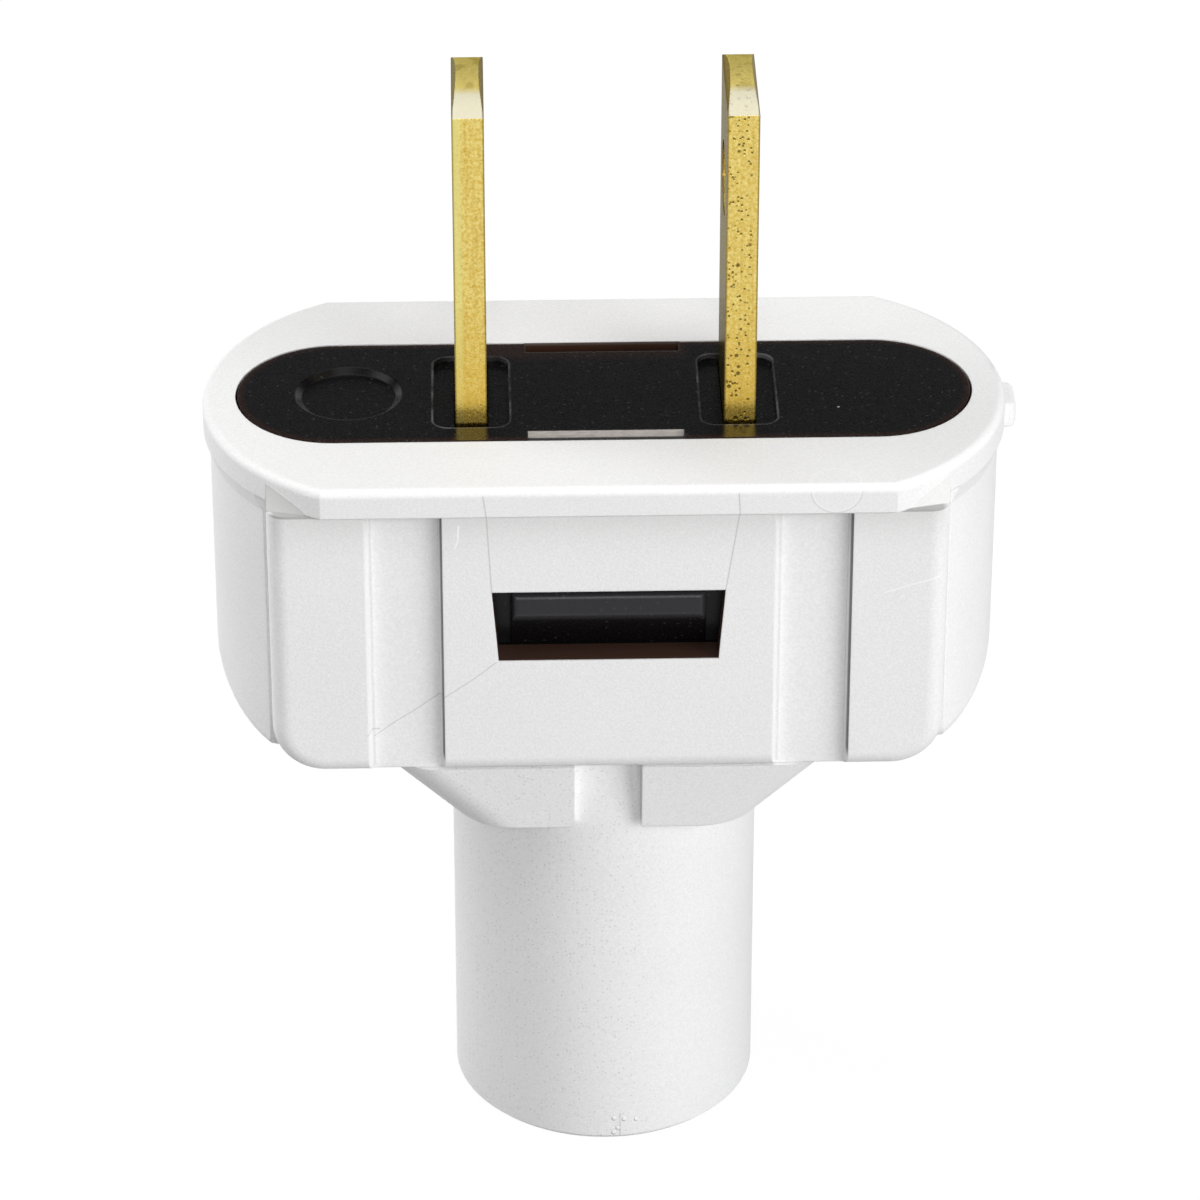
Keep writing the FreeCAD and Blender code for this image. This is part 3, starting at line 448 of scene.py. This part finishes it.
rounded = add(tree, "Bevel", {"Radius": EDGE_RADIUS * MM}, samples=4)
height = add(tree, "Math", {0: chips, 1: CHIP_HEIGHT, 2: pebble}, operation="MULTIPLY_ADD")
relief = add(tree, "Bump", {"Height": height, "Normal": rounded, "Strength": 1.0,
                            "Distance": PEBBLE_HEIGHT * MM})
satin = add(tree, "MapRange", {"Value": pebble, "To Min": 0.36, "To Max": 0.52})
skin = add(tree, "BsdfPrincipled", {"Base Color": white, "Roughness": satin, "IOR": PVC_IOR,
                                    "Normal": relief, "Specular IOR Level": 0.4})
add(tree, "OutputMaterial", {"Surface": skin})
print(vinyl.name, "has", len(tree.nodes), "nodes")

# %% [markdown]
# ## Core: marks
#
# The core is a stiff black moulding that is pried out and pushed in again. Its pale marks are painted
# light: a pale painted highlight on the slope of its front pry notch, a grey painted sheen on the face
# of the latch hook in the window, and a painted highlight along the lips of the two blade recesses. A
# brown cast shows along the outline and by the back notch. A lip could be selected on the mesh, but
# the distance from a rounded rectangle finds it without touching the mesh.

# %% Core: marks
OUTLINE_RADIUS, OUTLINE_Z = (4.5, 4.7), (38.0, 39.0)
NOTCH_HIGHLIGHT_Y, NOTCH_HIGHLIGHT_Z, NOTCH_HIGHLIGHT_X = (-3.97, -3.80), (37.5, 38.88), (0.0, 3.68)
STREAK_LENGTH, STREAK_WIDTH = 0.5, 0.1
CAST_X, CAST_Y, CAST_Z = (-5.6, 3.8), (3.7, 4.7), (38.8, 39.0)
HOOK_X, HOOK_Y, HOOK_Z = (0.0, 4.95), (-9.2, -7.6), (31.6, 33.4)

nylon, tree = new_material("nylon_moulded_black")
place, x, y, z = object_mm(tree)
x_size = add(tree, "Math", {0: x}, operation="ABSOLUTE")
outline = between(tree, rod_distance(tree, x, y, CORE_HALF_LENGTH), *OUTLINE_RADIUS, soft=0.25)
outline = combine(tree, [outline, between(tree, z, *OUTLINE_Z, soft=0.5)], "MULTIPLY")
# Painted highlight: the pry notch's slope is coloured pale grey in streaks.
painted_notch_highlight = combine(tree, [between(tree, y, *NOTCH_HIGHLIGHT_Y, soft=0.03), between(tree, z, *NOTCH_HIGHLIGHT_Z),
                       between(tree, x_size, *NOTCH_HIGHLIGHT_X)], "MULTIPLY")
highlight_streaks = add(tree, "Mapping", {"Vector": place, "Scale": (1 / STREAK_LENGTH, 1 / STREAK_WIDTH, 1 / STREAK_WIDTH)})
highlight_streaks = add(tree, "TexNoise", {"Vector": highlight_streaks, "Scale": 1.0, "Detail": 3.0})
cast = combine(tree, [between(tree, x, *CAST_X, soft=0.5), between(tree, y, *CAST_Y, soft=0.9),
                      between(tree, z, *CAST_Z)], "MULTIPLY")
# Painted sheen: the face of the latch hook in the window is coloured grey.
painted_hook_sheen = combine(tree, [between(tree, x_size, *HOOK_X, soft=0.25), between(tree, y, *HOOK_Y),
                      between(tree, z, *HOOK_Z, soft=0.3)], "MULTIPLY")
print("core marks:", len(tree.nodes), "nodes")

# %% Core: lips of the blade recesses
RECESS_CENTRE, RECESS_HALF_X, RECESS_HALF_Y, RECESS_CORNER = 6.35, 1.8, 3.4, 0.7
LIP_INSIDE, LIP_OUTSIDE, LIP_Z = 0.02, 0.07, (38.7, 39.0)
PATCH_SIZE = 1.3

side = add(tree, "Math", {0: x_size, 1: RECESS_CENTRE}, operation="SUBTRACT")
side = add(tree, "Math", {0: side}, operation="ABSOLUTE")
side = add(tree, "Math", {0: side, 1: RECESS_HALF_X - RECESS_CORNER}, operation="SUBTRACT")
end = add(tree, "Math", {0: y}, operation="ABSOLUTE")
end = add(tree, "Math", {0: end, 1: RECESS_HALF_Y - RECESS_CORNER}, operation="SUBTRACT")
outside = add(tree, "CombineXYZ", {0: side, 1: end})
outside = add(tree, "VectorMath", {0: outside, 1: (0, 0, 0)}, operation="MAXIMUM")
outside = add(tree, "VectorMath", {0: outside}, out="Value", operation="LENGTH")
inside = combine(tree, [side, end], "MAXIMUM")
inside = add(tree, "Math", {0: inside, 1: 0.0}, operation="MINIMUM")
# Painted highlight: a patchy grey line along the lips of the blade recesses.
painted_lip_highlight = combine(tree, [inside, outside], "ADD")
painted_lip_highlight = between(tree, painted_lip_highlight, RECESS_CORNER - LIP_INSIDE, RECESS_CORNER + LIP_OUTSIDE, soft=0.05)
patchy = add(tree, "TexNoise", {"Vector": place, "Scale": 1 / PATCH_SIZE, "Detail": 2.0})
patchy = add(tree, "MapRange", {"Value": patchy, "From Min": 0.42, "From Max": 0.62, "To Min": 0.2})
painted_lip_highlight = combine(tree, [painted_lip_highlight, between(tree, z, *LIP_Z), patchy], "MULTIPLY")
print("recess lips:", 2 * RECESS_HALF_X, "by", 2 * RECESS_HALF_Y, "mm")

# %% [markdown]
# ## Core: black nylon, moulded
#
# Moulded nylon has a semi-gloss skin. The eye sees a near black with a fine grey speckle, a dim mirror
# of the blades where they stand on it and a few pale specks of dust. Real speckle is finer than a
# pixel, so the grain is drawn at 0.15 mm and the flecks at 0.3 mm. The base colour stays very dark, and
# a low specular level keeps the flat face from turning grey under the lamps.

# %% Core: colour and skin
GRAIN = 0.15
FLECK_CELL, FLECK_RADIUS, FLECKS_KEPT = 0.30, 0.07, 0.35
DUST_CELL, DUST_RADIUS, DUST_KEPT = 1.6, 0.075, 0.16
GRAIN_HEIGHT = 0.003
NYLON_IOR = 1.53

grain = add(tree, "TexNoise", {"Vector": place, "Scale": 1 / GRAIN, "Detail": 3.0, "Roughness": 0.65})
fleck = specks(tree, place, FLECK_CELL, FLECK_RADIUS, FLECKS_KEPT)
dust = specks(tree, place, DUST_CELL, DUST_RADIUS, DUST_KEPT)
tone = add(tree, "MapRange", {"Value": grain, "From Min": 0.3, "From Max": 0.7})
notch_highlight_tone = coats(tree, colour("#857f7a"), [(highlight_streaks, 1.0, colour("#c6beb8"))])
black = coats(tree, colour("#060607"), [
    (tone, 1.0, colour("#0f0f11")),
    (outline, 0.55, colour("#2e1a12")),
    (cast, 0.6, colour("#2b1a14")),
    (painted_hook_sheen, 0.7, colour("#353538")),
    (fleck, 0.5, colour("#4a4a4e")),
    (painted_lip_highlight, 0.75, colour("#6c6c70")),
    (dust, 1.0, colour("#b9b7b3")),
    (painted_notch_highlight, 1.0, notch_highlight_tone),
])
rounded = add(tree, "Bevel", {"Radius": EDGE_RADIUS * MM}, samples=4)
relief = add(tree, "Bump", {"Height": grain, "Normal": rounded, "Strength": 1.0,
                            "Distance": GRAIN_HEIGHT * MM})
gloss = add(tree, "MapRange", {"Value": grain, "To Min": 0.20, "To Max": 0.34})
skin = add(tree, "BsdfPrincipled", {"Base Color": black, "Roughness": gloss, "IOR": NYLON_IOR,
                                    "Normal": relief, "Specular IOR Level": 0.18})
add(tree, "OutputMaterial", {"Surface": skin})
print(nylon.name, "has", len(tree.nodes), "nodes")

# %% [markdown]
# ## Blades: faces, pits and burrs
#
# Each blade is cut from rolled brass strip, so its sides differ. The broad faces keep the rolling lines,
# the narrow edges show the torn grain of the shear with dark pits, and a dark burr runs along each
# corner of the edge. The bevelled tip is the crown. Each side could get a material of its own, but then
# the mesh would need more slots. The surface's own direction tells them apart instead.

# %% Blades: faces, pits and burrs
TORN, PATCH = 0.16, 1.1
LINE_WIDTH, LINE_LENGTH = 0.12, 4.0
FINE_PITS, COARSE_PITS = (0.20, 0.075, 0.7), (0.45, 0.12, 0.45)
PITS_X, BURR_X = (5.75, 6.75), (5.70, 7.00)

brass, tree = new_material("rolled_brass_sheared")
place, x, y, z = object_mm(tree)
facing = add(tree, "SeparateXYZ", {0: add(tree, "NewGeometry", out="True Normal")}, out=None)
sideways = add(tree, "Math", {0: facing["X"]}, operation="ABSOLUTE")
rolled = add(tree, "MapRange", {"Value": sideways, "From Min": 0.95, "From Max": 0.98})
crown = add(tree, "MapRange", {"Value": facing["Z"], "From Min": 0.4, "From Max": 0.5})

torn = add(tree, "TexNoise", {"Vector": place, "Scale": 1 / TORN, "Detail": 4.0, "Roughness": 0.7})
patch = add(tree, "TexNoise", {"Vector": place, "Scale": 1 / PATCH, "Detail": 3.0})
lined = add(tree, "Mapping", {"Vector": place, "Scale": (1 / LINE_WIDTH, 1 / LINE_WIDTH, 1 / LINE_LENGTH)})
lined = add(tree, "TexNoise", {"Vector": lined, "Scale": 1.0, "Detail": 3.0})

# The right blade is pitted far more than the left one.
rough_side = add(tree, "MapRange", {"Value": x, "From Min": -1.0, "From Max": 1.0,
                                    "To Min": 0.15, "To Max": 1.0})
across = add(tree, "Math", {0: x}, operation="ABSOLUTE")
pits = combine(tree, [specks(tree, place, *FINE_PITS), specks(tree, place, *COARSE_PITS)], "MAXIMUM")
pits = combine(tree, [pits, between(tree, patch, 0.44, 1.0, soft=0.06),
                      between(tree, across, *PITS_X, soft=0.2), rough_side], "MULTIPLY")
burr = between(tree, across, *BURR_X, soft=0.06)
burr = add(tree, "Math", {0: 1.0, 1: burr}, operation="SUBTRACT")
print("blade marks:", len(tree.nodes), "nodes")

# %% [markdown]
# ## Blades: brass strip, rolled and sheared
#
# The eye sees bright yellow, grainy edges, a paler stripe down the left blade, a whitish painted
# highlight and a few brown blotches on the crown, and dull, greyer broad faces with fine lines along
# the blade. Real shear grain is about 0.1 mm across and is drawn at 0.16 mm. It is a metal, so its
# colour is in its reflection, and the crown is rougher, so that it doesn't mirror the lamp.

# %% Blades: colour and skin
STRIPE_X = (-7.05, -6.75)
LOW_START, LOW_END = 46.0, 40.0
CROWN_HIGHLIGHT_Y = (-3.5, -1.85)
PIT_DEPTH = -2.0
BLADE_EDGE_RADIUS = 0.06
TORN_HEIGHT = 0.007
CROWN_ROUGHNESS = 0.36

grainy = add(tree, "MapRange", {"Value": torn, "From Min": 0.35, "From Max": 0.68})
streak = add(tree, "MapRange", {"Value": lined, "From Min": 0.5, "From Max": 0.75})
low_down = add(tree, "MapRange", {"Value": z, "From Min": LOW_START, "From Max": LOW_END})
pale_stripe = between(tree, x, *STRIPE_X, soft=0.12)
# Painted highlight: the crown's front facet is coloured whitish where the overhead lamp reflects.
painted_crown_highlight = combine(tree, [crown, between(tree, y, *CROWN_HIGHLIGHT_Y, soft=0.5)], "MULTIPLY")
blotch = add(tree, "MapRange", {"Value": patch, "From Min": 0.52, "From Max": 0.62})
blotch = combine(tree, [crown, blotch], "MULTIPLY")
dull = add(tree, "MapRange", {"Value": patch, "From Min": 0.35, "From Max": 0.65})
drawn = add(tree, "MapRange", {"Value": lined, "From Min": 0.35, "From Max": 0.65})
face = coats(tree, colour("#a3966a"), [(drawn, 1.0, colour("#b9ab7e")), (dull, 0.30, colour("#85795a"))])
metal = coats(tree, colour("#cfae4a"), [
    (grainy, 1.0, colour("#f2e08e")),
    (streak, 0.4, colour("#c29a43")),
    (pale_stripe, 0.6, colour("#e3dd8c")),
    (low_down, 0.5, colour("#c9a02c")),
    (pits, 0.85, colour("#584818")),
    (crown, 0.6, colour("#f5e792")),
    (blotch, 0.35, colour("#a08c38")),
    (painted_crown_highlight, 0.9, colour("#f0ecd8")),
    (burr, 0.65, colour("#5e4a1a")),
    (rolled, 1.0, face),
])

coarse = combine(tree, [torn, lined], "ADD")
coarse = add(tree, "Math", {0: pits, 1: PIT_DEPTH, 2: coarse}, operation="MULTIPLY_ADD")
rounded = add(tree, "Bevel", {"Radius": BLADE_EDGE_RADIUS * MM}, samples=4)
relief = add(tree, "Bump", {"Height": coarse, "Normal": rounded, "Strength": 1.0,
                            "Distance": TORN_HEIGHT * MM})
polish = add(tree, "MapRange", {"Value": torn, "To Min": 0.18, "To Max": 0.36})
polish = add(tree, "Math", {0: crown, 1: CROWN_ROUGHNESS, 2: polish}, operation="MULTIPLY_ADD")
skin = add(tree, "BsdfPrincipled", {"Base Color": metal, "Metallic": 1.0, "Roughness": polish,
                                    "Normal": relief, "Specular Tint": colour("#8d8567")})
add(tree, "OutputMaterial", {"Surface": skin})
print(brass.name, "has", len(tree.nodes), "nodes")

# %% [markdown]
# ## Screws: turned brass
#
# The two terminal screws are turned from brass rod and sit inside, where no view shows them. The eye
# would see a bright yellow metal with a fine grain of the turning tool. Rings round each screw's axis
# could be drawn, but a fine noise is enough for a hidden piece. It is drawn at 0.15 mm.

# %% Screws: colour and skin
TURNING = 0.15
TURNING_HEIGHT = 0.005

turned, tree = new_material("turned_brass")
place = object_mm(tree)[0]
tool_marks = add(tree, "TexNoise", {"Vector": place, "Scale": 1 / TURNING, "Detail": 2.0})
tone = coats(tree, colour("#b9963f"), [(tool_marks, 1.0, colour("#dcc172"))])
relief = add(tree, "Bump", {"Height": tool_marks, "Strength": 1.0, "Distance": TURNING_HEIGHT * MM})
skin = add(tree, "BsdfPrincipled", {"Base Color": tone, "Metallic": 1.0, "Roughness": 0.3,
                                    "Normal": relief})
add(tree, "OutputMaterial", {"Surface": skin})
print(turned.name, "has", len(tree.nodes), "nodes")

# %% [markdown]
# ## Dress the solid models
#
# Each piece came in with a plain material in its slot. The mesh stays as it is, and the slot gets the
# finish that was made for it. Both blades share one brass, which tells them apart by their place.

# %% Dress the solid models
FINISHES = {
    "shell": vinyl,
    "core": nylon,
    "blade_left": brass,
    "blade_right": brass,
    "terminal_screws": turned,
}
for name, finish in FINISHES.items():
    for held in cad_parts[name].material_slots:
        held.material = finish
    print(name, "is", finish.name)
